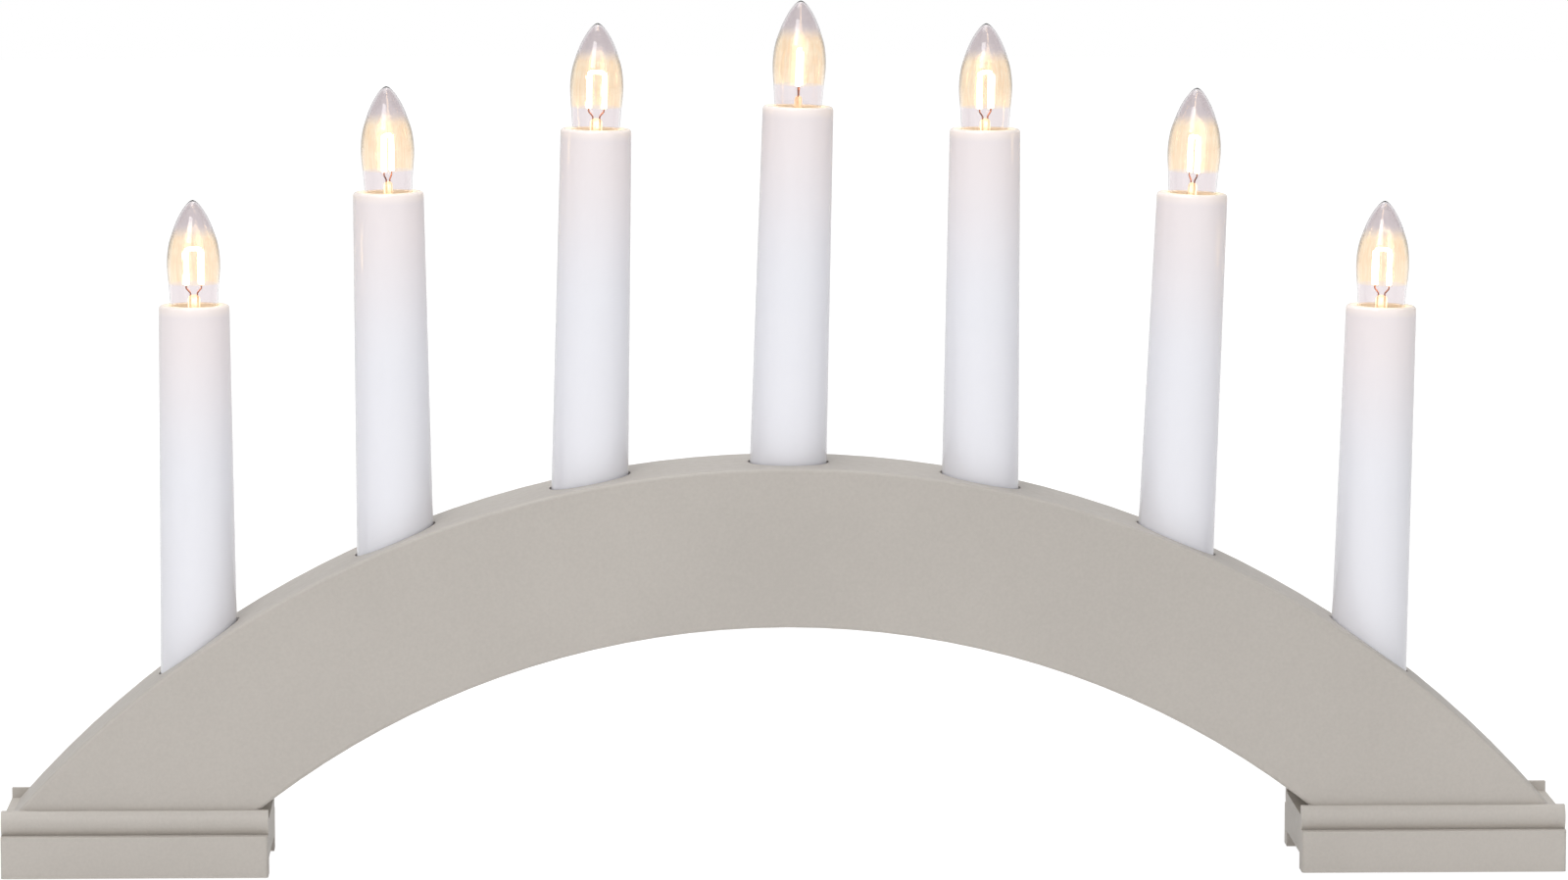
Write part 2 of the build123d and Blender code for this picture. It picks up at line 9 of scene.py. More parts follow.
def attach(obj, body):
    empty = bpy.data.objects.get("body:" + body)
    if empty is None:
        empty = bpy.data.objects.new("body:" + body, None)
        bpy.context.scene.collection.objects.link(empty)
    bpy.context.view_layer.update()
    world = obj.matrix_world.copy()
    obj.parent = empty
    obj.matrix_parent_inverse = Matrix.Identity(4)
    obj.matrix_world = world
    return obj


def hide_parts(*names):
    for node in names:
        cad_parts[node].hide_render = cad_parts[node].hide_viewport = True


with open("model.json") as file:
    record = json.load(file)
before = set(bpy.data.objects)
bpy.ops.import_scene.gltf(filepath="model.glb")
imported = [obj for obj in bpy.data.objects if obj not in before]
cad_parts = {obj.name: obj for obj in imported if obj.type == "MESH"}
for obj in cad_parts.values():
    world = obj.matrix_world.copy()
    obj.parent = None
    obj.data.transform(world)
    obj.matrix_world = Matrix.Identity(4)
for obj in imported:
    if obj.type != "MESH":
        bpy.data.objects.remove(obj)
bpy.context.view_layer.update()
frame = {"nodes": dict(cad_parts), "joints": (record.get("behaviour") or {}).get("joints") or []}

MM = 0.001
CANDLES = 7
BULB_TURNS = (8.0, 62.0, 4.0, 84.0, 40.0, 115.0, 150.0)   # degrees about each candle
AXIS_TOLERANCE = 1e-6              # a smaller radius is a point on the axis
NOISE_RANGE = (0.3, 0.7)           # span of a noise that carries most of its values
NARROW_NOISE_RANGE = (0.35, 0.65)

# Camera, fitted to the photograph
PHOTO_WIDTH = 1600
FOCAL_PIXELS = 6860.94
CAMERA_PLACE = (-0.0547731, -1.668182, 0.3154872)
CAMERA_YAW, CAMERA_PITCH, CAMERA_ROLL = -0.0328, 0.1245, 0.0013
SENSOR = 36.0

# Bulb sizes in its own frame: z is 0 at the sleeve's top
CAP_TOP = -7.0
TIP = 26.2
BULB_RADIUS = 6.65
NECK_RADIUS = 3.755
NECK_LENGTH = 3.0
GLASS_WALL = 0.5
TIP_WALL = 0.6
GLOBE_LINE = ((0.75, 0.090), (0.882, 0.211), (0.935, 0.345), (1.0, 0.512), (0.935, 0.655),
              (0.765, 0.770), (0.565, 0.866), (0.345, 0.940), (0.205, 0.974), (0.092, 0.993))
OUTER_STEPS, INNER_STEPS = 6, 8    # points between two of the globe's line
RIB_COUNT = 60
RIB_SIDES = 6                      # sides of the mesh for each rib
RIB_DEPTH = 0.016
RIB_LOW, RIB_HIGH = 5.4, 19.6
RIB_RUN_IN, RIB_RUN_OUT = 0.35, 1.5
STEM_TOP = 2.6
PINCH_DEPTH = 5.5                  # of the stem's foot, below its top
STEM_LINE = ((0.0, 0.0), (0.7, 0.08), (1.25, 0.4), (1.5, 1.0))    # radius, depth below its top
STEM_FLATNESS = 0.62               # depth over width of the pinched stem

# Sleeve and light rods, in the same frame
SLEEVE_LENGTH = 101.0
SLEEVE_BASE_RADIUS = 9.75
SLEEVE_TOP_RADIUS = 8.8
SLEEVE_WALL = 1.2
SLEEVE_LID = 1.3
SLEEVE_ROUND = 0.9
SLEEVE_SHARES = (0.02, 0.25, 0.5, 0.75, 0.995)
SLEEVE_BASE_EDGE = 0.15
SLEEVE_SIDES = 128
SLEEVE_SHARP_ANGLE = 50
MOUTH_RADIUS = 6.165
MOUTH_ROUND = 0.25
ROD_BASE, ROD_TOP = 5.0, 14.0
ROD_SPACING = 3.8
ROD_RADIUS = 0.72
BRIDGE_RADIUS = 0.5
ROD_BEND = 1.1
ROD_LEG_STEPS, ROD_BEND_STEPS = 6, 6
ROD_END_RISES = (0.0, 0.08, 0.25)
ROD_END_RADII = (0.35, 0.6)
ROD_SIDES = 16

# Floor: a white disc that glows, more to the camera than to the part
FLOOR_RADIUS = 3.0
FLOOR_DROP = 0.0003                # below the part's lowest faces
FLOOR_SIDES = 96
FLOOR_WHITE = 0.9
FLOOR_GLOW = 1.25
FLOOR_LIT_SHARE, FLOOR_SEEN_SHARE = 0.19, 0.75     # of the glow, the rest is diffuse

# World: its strength falls from the middle of the view to the sides
WORLD_MIDDLE, WORLD_SIDE = 0.6, 0.14
WORLD_FALL = (0.35, 1.0)           # sideways share of the direction
WORLD_SEEN = 1.0
WHITE = (1, 1, 1, 1)

# Lamps: name, place, size in metres, power in watts
LAMP_TARGET = (0, 0, 0.1)
LAMPS = (
    ("key", (-0.8, -1.9, 1.7), (1.0, 1.2), 18.5),
    ("fill", (1.3, -1.7, 0.7), (1.2, 1.2), 3.5),
    ("top", (-0.2, 0.2, 1.8), (1.4, 1.0), 13.5),
)


def srgb(red, green, blue):
    """Linear colour of an 8-bit one."""
    def linear(value):
        value /= 255
        return value / 12.92 if value <= 0.04045 else ((value + 0.055) / 1.055) ** 2.4
    return (linear(red), linear(green), linear(blue), 1.0)


# Camera

def make_camera():
    yaw, pitch, roll = CAMERA_YAW, CAMERA_PITCH, CAMERA_ROLL
    ahead = Vector((-sin(yaw) * cos(pitch), cos(yaw) * cos(pitch), -sin(pitch)))
    level = Vector((cos(yaw), sin(yaw), 0))
    up = level.cross(ahead)
    right = cos(roll) * level + sin(roll) * up
    up = -sin(roll) * level + cos(roll) * up
    data = bpy.data.cameras.new("camera")
    data.sensor_width = SENSOR
    data.lens = FOCAL_PIXELS / PHOTO_WIDTH * SENSOR
    camera = bpy.data.objects.new("camera", data)
    bpy.context.scene.collection.objects.link(camera)
    axes = Matrix((right, up, -ahead)).transposed().to_4x4()
    camera.matrix_world = Matrix.Translation(CAMERA_PLACE) @ axes
    bpy.context.scene.camera = camera


# Node helpers

class Shade:
    """Small helper that builds one procedural material."""

    def __init__(self, name):
        self.material = bpy.data.materials.new(name)
        self.material.use_nodes = True
        self.nodes = self.material.node_tree.nodes
        self.links = self.material.node_tree.links
        self.surface = self.nodes["Principled BSDF"]
        self.output = self.nodes["Material Output"]

    def set(self, **values):
        for name, value in values.items():
            self.surface.inputs[name.replace("_", " ")].default_value = value

    def node(self, kind, **settings):
        made = self.nodes.new(kind)
        for name, value in settings.items():
            setattr(made, name, value)
        return made

    def feed(self, node, name, value):
        """Sets an input, or links it when the value is another node's output."""
        socket = node.inputs[name]
        if isinstance(value, bpy.types.NodeSocket):
            self.links.new(value, socket)
        else:
            socket.default_value = value

    def place(self, scale):
        """The piece's own coordinates, in metres, times scale."""
        source = self.node("ShaderNodeTexCoord").outputs["Object"]
        mapping = self.node("ShaderNodeMapping")
        self.feed(mapping, "Vector", source)
        mapping.inputs["Scale"].default_value = scale
        return mapping.outputs["Vector"]

    def noise(self, scale, detail, stretch=(1, 1, 1)):
        made = self.node("ShaderNodeTexNoise")
        self.feed(made, "Vector", self.place(stretch))
        made.inputs["Scale"].default_value = scale
        made.inputs["Detail"].default_value = detail
        made.inputs["Distortion"].default_value = 0.0
        return made.outputs["Fac"]

    def blotches(self, scale, detail, low=0.0, high=1.0):
        """Noise spread from low to high."""
        return self.spread(self.noise(scale, detail), *NOISE_RANGE, low, high)

    def local(self):
        """The three coordinates of the piece's own frame, in millimetres."""
        parts = self.node("ShaderNodeSeparateXYZ")
        self.feed(parts, 0, self.place((1 / MM, 1 / MM, 1 / MM)))
        return parts.outputs

    def math(self, operation, first, second=0.0):
        made = self.node("ShaderNodeMath", operation=operation)
        self.feed(made, 0, first)
        self.feed(made, 1, second)
        return made.outputs[0]

    def radius(self, x, y):
        """Distance from the piece's own axis."""
        squares = self.math("ADD", self.math("MULTIPLY", x, x), self.math("MULTIPLY", y, y))
        return self.math("SQRT", squares)

    def spread(self, value, low, high, new_low=0.0, new_high=1.0, smooth=False):
        made = self.node("ShaderNodeMapRange", clamp=True)
        if smooth:
            made.interpolation_type = "SMOOTHSTEP"
        self.feed(made, "Value", value)
        for name, number in (("From Min", low), ("From Max", high),
                             ("To Min", new_low), ("To Max", new_high)):
            self.feed(made, name, number)
        return made.outputs["Result"]

    def mix(self, share, first, second):
        made = self.node("ShaderNodeMix", data_type="RGBA")
        self.feed(made, 0, share)
        self.feed(made, 6, first)
        self.feed(made, 7, second)
        return made.outputs[2]

    def bump(self, height, depth, strength, base=None):
        """Bump of the given depth in metres."""
        made = self.node("ShaderNodeBump")
        made.inputs["Strength"].default_value = strength
        made.inputs["Distance"].default_value = depth
        self.feed(made, "Height", height)
        if base is not None:
            self.feed(made, "Normal", base)
        return made.outputs["Normal"]

    def color(self, value):
        self.feed(self.surface, "Base Color", value)

    def rough(self, value):
        self.feed(self.surface, "Roughness", value)

    def normal(self, value):
        self.feed(self.surface, "Normal", value)

    def glow(self, color, strength):
        self.feed(self.surface, "Emission Color", color)
        self.feed(self.surface, "Emission Strength", strength)


def toned(color, factor):
    """A lighter or darker tone of a colour."""
    return tuple(min(1.0, part * factor) for part in color[:3]) + (1.0,)


# Materials

def painted_wood(name, color):
    """Satin paint with faint clouds, specks and the grain of the board under it."""
    cloud_share, lighter, darker = 0.55, 1.045, 0.955
    cloud_scale, speck_scale, sheen_scale, fibre_scale, grit_scale = 18, 1400, 420, 900, 2400
    grain = (0.03, 1.0, 1.0)
    fibre_depth, fibre_strength = 0.00006, 0.35
    grit_depth, grit_strength = 0.00003, 0.3
    shade = Shade(name)
    cloud = shade.noise(cloud_scale, 3)
    speck = shade.noise(speck_scale, 2)
    tone = shade.math("ADD", shade.math("MULTIPLY", cloud, cloud_share),
                      shade.math("MULTIPLY", speck, 1 - cloud_share))
    shade.color(shade.mix(shade.spread(tone, *NARROW_NOISE_RANGE),
                          toned(color, darker), toned(color, lighter)))
    shade.rough(shade.blotches(sheen_scale, 3, 0.42, 0.56))
    fibre = shade.noise(fibre_scale, 4, grain)
    grained = shade.bump(fibre, fibre_depth, fibre_strength)
    shade.normal(shade.bump(shade.noise(grit_scale, 2), grit_depth, grit_strength, grained))
    return shade.material


def sleeve_plastic():
    """White plastic, with painted warm light towards the top and a painted glow around the mouth.
    """
    painted_warmth_from, painted_warmth_to = -45, 0
    cloud_scale, cloud_share, sheen_scale = 90, 0.05, 40
    glow_inner, glow_outer, glow_radius = 0.55, 0.1, 6.0
    glow_from, glow_to = -3.0, -0.3
    shade = Shade("sleeve_plastic")
    x, y, up = shade.local()
    # Painted warm light: the white turns pinker towards the top, where the bulb's light falls.
    painted_warm_tint = shade.mix(shade.spread(up, painted_warmth_from, painted_warmth_to, smooth=True),
                     srgb(239, 239, 245), srgb(245, 236, 237))
    shade.color(shade.mix(shade.blotches(cloud_scale, 2, 0.0, cloud_share), painted_warm_tint,
                          srgb(224, 224, 232)))
    shade.rough(shade.blotches(sheen_scale, 1, 0.11, 0.14))
    shade.set(IOR=1.46)
    # Painted glow: emission on the lid around the mouth, strongest near the top, stands for the
    # bulb's light on the plastic.
    near = shade.spread(shade.radius(x, y), glow_radius, SLEEVE_TOP_RADIUS,
                        glow_inner, glow_outer, smooth=True)
    high = shade.spread(up, glow_from, glow_to, smooth=True)
    shade.glow(srgb(255, 228, 160), shade.math("MULTIPLY", near, high))
    return shade.material


def clear_glass():
    """Clear glass with a painted warm glow in the ribbed band, painted shade towards the tip, and
    a frosted stem with a painted glow.
    """
    band_in, band_out_from, band_out_to = 0.3, 3.6, 0.4
    plain_from, plain_to = 7, 21
    patch_scale, streak_scale, streak_share, streak_range = 260, 2200, 0.5, (0.4, 0.6)
    streak_stretch = (1, 1, 0.04)
    wave_scale, wave_depth, wave_strength = 220, 0.00012, 0.12
    stem_core, stem_skin, stem_fade, stem_frost = 1.55, 1.9, 0.2, 0.3
    stem_dark, stem_lit = -4.0, -1.0
    haze_scale, haze = 500, 0.04
    speck_scale, speck_low, speck_high = 1500, 0.35, 0.9
    shade = Shade("clear_glass")
    x, y, up = shade.local()
    # Painted glow: a peach tint in the ribbed band, with patches and streaks, stands for the
    # rods' light through the ribs.
    low = shade.spread(up, RIB_LOW - band_in, RIB_LOW + band_in, smooth=True)
    high = shade.spread(up, RIB_HIGH - band_out_from, RIB_HIGH + band_out_to, 1.0, 0.0,
                        smooth=True)
    band = shade.math("MULTIPLY", low, high)
    patch = shade.spread(shade.noise(patch_scale, 2), *NARROW_NOISE_RANGE)
    streak = shade.spread(shade.noise(streak_scale, 1, streak_stretch), *streak_range)
    painted_band_glow = shade.mix(patch, srgb(255, 243, 228), srgb(255, 249, 236))
    painted_band_glow = shade.mix(shade.math("MULTIPLY", streak, streak_share), painted_band_glow, srgb(250, 226, 200))
    # Painted shade: the clear glass outside the band turns darker towards the tip.
    plain = shade.mix(shade.spread(up, plain_from, plain_to),
                      srgb(243, 238, 239), srgb(226, 220, 222))
    shade.color(shade.mix(band, plain, painted_band_glow))
    shade.normal(shade.bump(shade.noise(wave_scale, 1), wave_depth, wave_strength))
    shade.set(Transmission_Weight=1.0, IOR=1.45)
    stem = shade.math(
        "MULTIPLY", shade.spread(shade.radius(x, y), stem_core, stem_skin, 1.0, 0.0, smooth=True),
        shade.spread(up, STEM_TOP, STEM_TOP + stem_fade, 1.0, 0.0))
    stem = shade.math("MULTIPLY", stem, shade.spread(up, stem_dark, stem_lit))
    shade.rough(shade.math("ADD", shade.blotches(haze_scale, 2, 0.0, haze),
                           shade.math("MULTIPLY", stem, stem_frost)))
    # Painted glow: speckled emission on the frosted stem stands for the rods' light caught in the
    # glass.
    speck = shade.spread(shade.noise(speck_scale, 2), *NARROW_NOISE_RANGE, speck_low, speck_high)
    shade.glow(srgb(255, 233, 184), shade.math("MULTIPLY", stem, speck))
    return shade.material


def metal(name, color, low, high):
    """Metal whose roughness runs from low to high."""
    tone_scale, darker, bump_scale, bump_depth, bump_strength = 600, 0.8, 1800, 0.00002, 0.2
    shade = Shade(name)
    tone = shade.noise(tone_scale, 3)
    shade.color(shade.mix(shade.spread(tone, *NOISE_RANGE), toned(color, darker), color))
    shade.rough(shade.spread(tone, *NOISE_RANGE, low, high))
    shade.normal(shade.bump(shade.noise(bump_scale, 2), bump_depth, bump_strength))
    shade.set(Metallic=1.0)
    return shade.material


def plastic(name, color, low, high):
    """Plastic or rubber whose roughness runs from low to high."""
    tone_scale, darker, sheen_scale = 260, 0.9, 500
    bump_scale, bump_depth, bump_strength = 1500, 0.00002, 0.3
    shade = Shade(name)
    shade.color(shade.mix(shade.blotches(tone_scale, 3), toned(color, darker), color))
    shade.rough(shade.blotches(sheen_scale, 2, low, high))
    shade.normal(shade.bump(shade.noise(bump_scale, 2), bump_depth, bump_strength))
    return shade.material


def light_rod():
    """The lit rods in the bulbs."""
    coat_scale, light_scale, strength = 900, 600, 8.0
    shade = Shade("light_rod")
    shade.color(shade.mix(shade.noise(coat_scale, 2), srgb(250, 214, 130), srgb(255, 230, 160)))
    shade.rough(0.5)
    shade.glow(shade.mix(shade.noise(light_scale, 1), srgb(255, 226, 178), srgb(255, 240, 208)),
               strength)
    return shade.material


# Pieces made here

def candle_places():
    """Two matrices of each candle, for its sleeve and for its turned bulb.

    Their origin is on the candle's axis, at the sleeve's top.
    """
    places = []
    joints = {joint["name"]: joint for joint in frame["joints"]}
    for number in range(1, CANDLES + 1):
        joint = joints[f"bulb_{number}_turn"]
        axis = Vector(joint["axis"]).normalized()
        top = Vector(joint["pos_m"]) - CAP_TOP * MM * axis
        side = Vector((0, 1, 0)).cross(axis).normalized()
        axes = Matrix((side, axis.cross(side), axis)).transposed().to_4x4()
        turn = Matrix.Rotation(radians(BULB_TURNS[number - 1]), 4, "Z")
        still = Matrix.Translation(top) @ axes
        places.append((still, still @ turn))
    return places


def smooth_line(points, steps):
    """Points along a smooth curve through the given ones."""
    ends = [tuple(2 * a - b for a, b in zip(points[0], points[1])),
            tuple(2 * a - b for a, b in zip(points[-1], points[-2]))]
    padded = [ends[0], *points, ends[1]]
    line = []
    for before, start, end, after in zip(padded, padded[1:], padded[2:], padded[3:]):
        for step in range(steps):
            t = step / steps
            line.append(tuple(
                0.5 * (2 * b + (c - a) * t + (2 * a - 5 * b + 4 * c - d) * t * t
                       + (3 * b - a - 3 * c + d) * t ** 3)
                for a, b, c, d in zip(before, start, end, after)))
    return line + [points[-1]]


def turned_mesh(name, line, segments, change=None):
    """Mesh turned about Z from a closed line of (radius, z), in millimetres.

    The solid is on the line's right. change gives a point's x and y where it isn't round.
    """
    mesh = bmesh.new()
    rings = []
    for index, (radius, z) in enumerate(line):
        if radius < AXIS_TOLERANCE:
            rings.append([mesh.verts.new((0, 0, z * MM))])
            continue
        ring = []
        for step in range(segments):
            angle = 2 * pi * step / segments
            x, y = radius * cos(angle), radius * sin(angle)
            if change:
                x, y = change(index, radius, z, angle)
            ring.append(mesh.verts.new((x * MM, y * MM, z * MM)))
        rings.append(ring)
    for lower, upper in zip(rings, rings[1:] + rings[:1]):
        if len(lower) == len(upper) == 1:
            continue
        for step in range(segments):
            after = (step + 1) % segments
            if len(lower) == 1:
                mesh.faces.new((lower[0], upper[after], upper[step]))
            elif len(upper) == 1:
                mesh.faces.new((lower[step], lower[after], upper[0]))
            else:
                mesh.faces.new((lower[step], lower[after], upper[after], upper[step]))
    bmesh.ops.reverse_faces(mesh, faces=mesh.faces)
    data = bpy.data.meshes.new(name)
    mesh.to_mesh(data)
    mesh.free()
    data.shade_smooth()
    return data


def globe_mesh():
    """Clear globe with a wall, fine ribs inside, and the pinched stem that closes it."""
    height = TIP - CAP_TOP
    inner_neck = NECK_RADIUS - GLASS_WALL
    outer = [(NECK_RADIUS, CAP_TOP)]
    inner = [(inner_neck, CAP_TOP)]
    for r, h in GLOBE_LINE:
        outer.append((BULB_RADIUS * r, CAP_TOP + height * h))
        inner.append(((BULB_RADIUS - GLASS_WALL) * r, CAP_TOP + (height - TIP_WALL) * h))
    outer.append((0.0, TIP))
    inner.append((0.0, TIP - TIP_WALL))
    outer = smooth_line(outer, OUTER_STEPS)
    inner = smooth_line(inner, INNER_STEPS)
    pinch = STEM_TOP - PINCH_DEPTH
    stem = [(radius, STEM_TOP - depth) for radius, depth in STEM_LINE]
    stem += [(STEM_LINE[-1][0], pinch + 1.2), (1.9, pinch), (2.6, CAP_TOP - 0.6)]
    below = [(NECK_RADIUS, CAP_TOP - NECK_LENGTH), (inner_neck, CAP_TOP - NECK_LENGTH),
             (2.4, CAP_TOP - 2.4), (1.4, CAP_TOP - 1.2), (0.8, pinch - 0.6),
             (0.0, pinch - 0.4)]
    ribbed_from, ribbed_to = len(stem), len(stem) + len(inner)

    def change(index, radius, z, angle):
        flat = STEM_FLATNESS if index < len(stem) - 1 else 1.0
        if ribbed_from <= index < ribbed_to and RIB_LOW < z < RIB_HIGH:
            edge = min(1.0, (z - RIB_LOW) / RIB_RUN_IN, (RIB_HIGH - z) / RIB_RUN_OUT)
            radius -= RIB_DEPTH * edge * (0.5 + 0.5 * cos(RIB_COUNT * angle))
        return radius * cos(angle), radius * flat * sin(angle)

    line = stem + inner + outer[::-1] + below
    return turned_mesh("globe", line, RIB_COUNT * RIB_SIDES, change)


def rounded(corner, radius, start, end, steps=5):
    """Points of a round corner, from the angle start to the angle end in degrees."""
    line = []
    for step in range(steps + 1):
        angle = radians(start + (end - start) * step / steps)
        line.append((corner[0] + radius * cos(angle), corner[1] + radius * sin(angle)))
    return line


def sleeve_mesh():
    """Tapered tube with a lid whose mouth and rim are rounded."""
    rim = SLEEVE_TOP_RADIUS - SLEEVE_ROUND
    lip = MOUTH_RADIUS + MOUTH_ROUND
    line = [(SLEEVE_BASE_RADIUS - SLEEVE_WALL, -SLEEVE_LENGTH),
            (SLEEVE_TOP_RADIUS - SLEEVE_WALL, -SLEEVE_LID), (MOUTH_RADIUS, -SLEEVE_LID)]
    line += rounded((lip, -MOUTH_ROUND), MOUTH_ROUND, 180, 90)
    line += rounded((rim, -SLEEVE_ROUND), SLEEVE_ROUND, 90, 0)
    taper = SLEEVE_BASE_RADIUS - SLEEVE_TOP_RADIUS
    for share in SLEEVE_SHARES:
        line.append((SLEEVE_TOP_RADIUS + taper * share, -SLEEVE_LENGTH * share))
    line.append((SLEEVE_BASE_RADIUS - SLEEVE_BASE_EDGE, -SLEEVE_LENGTH))
    data = turned_mesh("sleeve", line, SLEEVE_SIDES)
    data.set_sharp_from_angle(angle=radians(SLEEVE_SHARP_ANGLE))
    return data


def tube_mesh(name, path, radii, segments):
    """Closed round bar along a path, in millimetres, with its own radius at each point."""
    points = [Vector(point) for point in path]
    mesh = bmesh.new()
    rings = []
    side = Vector((0, 1, 0))
    for index, (point, radius) in enumerate(zip(points, radii)):
        before, after = points[max(index - 1, 0)], points[min(index + 1, len(points) - 1)]
        ahead = (after - before).normalized()
        side = (side - side.dot(ahead) * ahead).normalized()
        across = ahead.cross(side)
        ring = []
        for step in range(segments):
            angle = 2 * pi * step / segments
            place = point + radius * (cos(angle) * side + sin(angle) * across)
            ring.append(mesh.verts.new(place * MM))
        rings.append(ring)
    for lower, upper in zip(rings, rings[1:]):
        for step in range(segments):
            after = (step + 1) % segments
            mesh.faces.new((lower[step], lower[after], upper[after], upper[step]))
    mesh.faces.new(rings[0][::-1])
    mesh.faces.new(rings[-1])
    bmesh.ops.recalc_face_normals(mesh, faces=mesh.faces)
    data = bpy.data.meshes.new(name)
    mesh.to_mesh(data)
    mesh.free()
    data.shade_smooth()
    return data


def rods_mesh():
    """Two upright light rods and the link that joins their tops, as one bent strip."""
    half = ROD_SPACING / 2
    straight = ROD_TOP - ROD_BASE - ROD_BEND
    leg = [(-half, ROD_BASE + rise) for rise in ROD_END_RISES]
    leg += [(-half, ROD_BASE + straight * step / ROD_LEG_STEPS)
            for step in range(1, ROD_LEG_STEPS + 1)]
    arc = rounded((-half + ROD_BEND, ROD_TOP - ROD_BEND), ROD_BEND, 180, 90, ROD_BEND_STEPS)[1:]
    left = leg + arc
    path = [(x, 0, z) for x, z in left] + [(-x, 0, z) for x, z in left[::-1]]
    radii = [*ROD_END_RADII] + [ROD_RADIUS] * (len(leg) - len(ROD_END_RADII))
    radii += [ROD_RADIUS + (BRIDGE_RADIUS - ROD_RADIUS) * (step + 1) / len(arc)
              for step in range(len(arc))]
    return tube_mesh("rods", path, radii + radii[::-1], ROD_SIDES)


def add_piece(name, data, matrix, material, body, replaced):
    """Puts a piece in place of the CAD node that it replaces."""
    piece = bpy.data.objects.new(name, data)
    bpy.context.scene.collection.objects.link(piece)
    piece.matrix_world = matrix
    if not data.materials:
        data.materials.append(material)
    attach(piece, body)
    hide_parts(replaced)


def dress(node, material):
    """Gives a CAD node its material, and smooth shading between its sharp edges."""
    sharp_angle = 30
    thing = frame["nodes"][node]
    thing.data.materials.clear()
    thing.data.materials.append(material)
    thing.data.shade_smooth()
    thing.data.set_sharp_from_angle(angle=radians(sharp_angle))


# Floor, world and lamps

def seen_ray(nodes, links):
    """1 for a ray from the camera, straight or through glass, and 0 for light on the part."""
    path = nodes.new("ShaderNodeLightPath")
    seen = nodes.new("ShaderNodeMath")
    seen.operation = "ADD"
    seen.use_clamp = True
    links.new(path.outputs["Is Camera Ray"], seen.inputs[0])
    links.new(path.outputs["Is Transmission Ray"], seen.inputs[1])
    return seen.outputs[0]


def mixed_output(nodes, links, share, first, second, kind):
    """Mix of two shaders by share, fed to an output of the given kind."""
    mix = nodes.new("ShaderNodeMixShader")
    links.new(share, mix.inputs[0])
    links.new(first.outputs[0], mix.inputs[1])
    links.new(second.outputs[0], mix.inputs[2])
    links.new(mix.outputs[0], nodes.new(kind).inputs["Surface"])


def stage_material():
    material = bpy.data.materials.new("stage_white")
    material.use_nodes = True
    nodes, links = material.node_tree.nodes, material.node_tree.links
    nodes.clear()
    diffuse = nodes.new("ShaderNodeBsdfDiffuse")
    diffuse.inputs["Color"].default_value = (FLOOR_WHITE, FLOOR_WHITE, FLOOR_WHITE, 1)
    glow = nodes.new("ShaderNodeEmission")
    glow.inputs["Color"].default_value = WHITE
    glow.inputs["Strength"].default_value = FLOOR_GLOW
    share = nodes.new("ShaderNodeMapRange")
    share.inputs["To Min"].default_value = FLOOR_LIT_SHARE
    share.inputs["To Max"].default_value = FLOOR_SEEN_SHARE
    links.new(seen_ray(nodes, links), share.inputs["Value"])
    mixed_output(nodes, links, share.outputs[0], diffuse, glow, "ShaderNodeOutputMaterial")
    return material


def make_stage():
    mesh = bmesh.new()
    rim = []
    for step in range(FLOOR_SIDES):
        angle = 2 * pi * step / FLOOR_SIDES
        x, y = FLOOR_RADIUS * cos(angle), FLOOR_RADIUS * sin(angle)
        rim.append(mesh.verts.new((x, y, -FLOOR_DROP)))
    mesh.faces.new(rim)
    data = bpy.data.meshes.new("stage")
    mesh.to_mesh(data)
    mesh.free()
    data.shade_smooth()
    floor = bpy.data.objects.new("stage", data)
    bpy.context.scene.collection.objects.link(floor)
    data.materials.append(stage_material())


def area_light(name, place, size, power):
    data = bpy.data.lights.new(name, "AREA")
    data.shape = "RECTANGLE"
    data.size, data.size_y = size
    data.energy = power
    light = bpy.data.objects.new(name, data)
    bpy.context.scene.collection.objects.link(light)
    light.location = place
    ahead = Vector(LAMP_TARGET) - Vector(place)
    light.rotation_mode = "QUATERNION"
    light.rotation_quaternion = ahead.to_track_quat("-Z", "Y")


def make_world():
    world = bpy.data.worlds.new("world")
    bpy.context.scene.world = world
    world.use_nodes = True
    nodes, links = world.node_tree.nodes, world.node_tree.links
    nodes.clear()
    lit = nodes.new("ShaderNodeBackground")
    lit.inputs["Color"].default_value = WHITE
    parts = nodes.new("ShaderNodeSeparateXYZ")
    links.new(nodes.new("ShaderNodeTexCoord").outputs["Generated"], parts.inputs[0])
    sideways = nodes.new("ShaderNodeMath")
    sideways.operation = "ABSOLUTE"
    links.new(parts.outputs["X"], sideways.inputs[0])
    level = nodes.new("ShaderNodeMapRange")
    level.interpolation_type = "SMOOTHSTEP"
    for name, value in (("From Min", WORLD_FALL[0]), ("From Max", WORLD_FALL[1]),
                        ("To Min", WORLD_MIDDLE), ("To Max", WORLD_SIDE)):
        level.inputs[name].default_value = value
    links.new(sideways.outputs[0], level.inputs["Value"])
    links.new(level.outputs["Result"], lit.inputs["Strength"])
    seen = nodes.new("ShaderNodeBackground")
    seen.inputs["Color"].default_value = WHITE
    seen.inputs["Strength"].default_value = WORLD_SEEN
    mixed_output(nodes, links, seen_ray(nodes, links), lit, seen, "ShaderNodeOutputWorld")


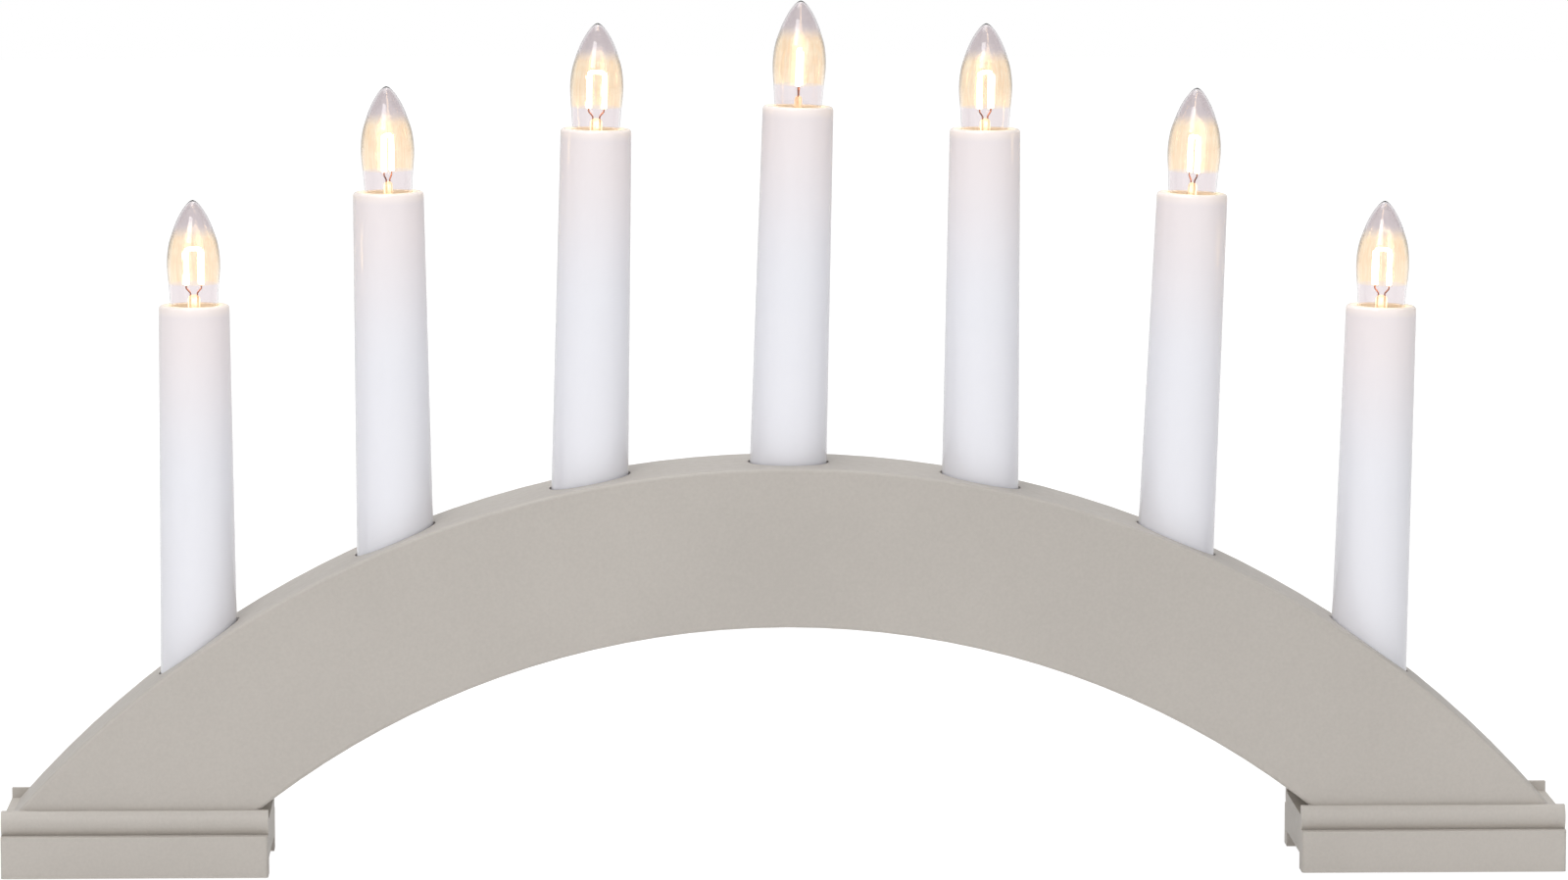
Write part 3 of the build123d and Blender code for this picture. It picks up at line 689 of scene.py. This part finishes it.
bpy.context.scene.view_settings.view_transform = "Standard"
make_camera()
make_world()
make_stage()
for lamp in LAMPS:
    area_light(*lamp)

beige = painted_wood("painted_wood", srgb(187, 181, 174))
sleeve = sleeve_plastic()
glass = clear_glass()
looks = {
    "arch": beige, "foot_left": beige, "foot_right": beige, "channel_cover": beige,
    "cover_screws": metal("zinc_steel", srgb(196, 198, 200), 0.25, 0.4),
    "foot_screws": metal("zinc_steel_large", srgb(190, 192, 194), 0.28, 0.42),
    "cable_grommet": plastic("grommet_rubber", srgb(226, 223, 217), 0.55, 0.7),
    "internal_wires": plastic("wire_insulation", srgb(226, 224, 216), 0.4, 0.5),
    "lamp_holders": plastic("holder_plastic", srgb(232, 228, 216), 0.4, 0.5),
    "socket_shells": metal("plated_brass", srgb(214, 190, 130), 0.25, 0.4),
    "contact_springs": metal("spring_steel", srgb(170, 170, 172), 0.25, 0.35),
}
cap_metal = metal("cap_metal", srgb(206, 206, 204), 0.2, 0.35)
insulator = plastic("dark_insulator", srgb(40, 36, 34), 0.3, 0.45)
copper = metal("copper_lead", srgb(196, 128, 100), 0.28, 0.42)
contact = metal("contact_metal", srgb(214, 196, 150), 0.22, 0.34)
rod = light_rod()
for number in range(1, CANDLES + 1):
    looks.update({
        f"candle_sleeve_{number}": sleeve, f"contact_{number}": contact,
        f"bulb_cap_{number}": cap_metal, f"bulb_insulator_{number}": insulator,
        f"bulb_leads_{number}": copper, f"bulb_filament_{number}": rod,
        f"bulb_globe_{number}": glass,
    })
for node, look in looks.items():
    dress(node, look)

globe = globe_mesh()
sleeve_form = sleeve_mesh()
rods_form = rods_mesh()
for number, (still, bulb) in enumerate(candle_places(), 1):
    add_piece(f"sleeve_{number}", sleeve_form, still, sleeve, "root",
              f"candle_sleeve_{number}")
    add_piece(f"light_rods_{number}", rods_form, bulb, rod, f"bulb_{number}",
              f"bulb_filament_{number}")
    add_piece(f"globe_{number}", globe, bulb, glass, f"bulb_{number}",
              f"bulb_globe_{number}")
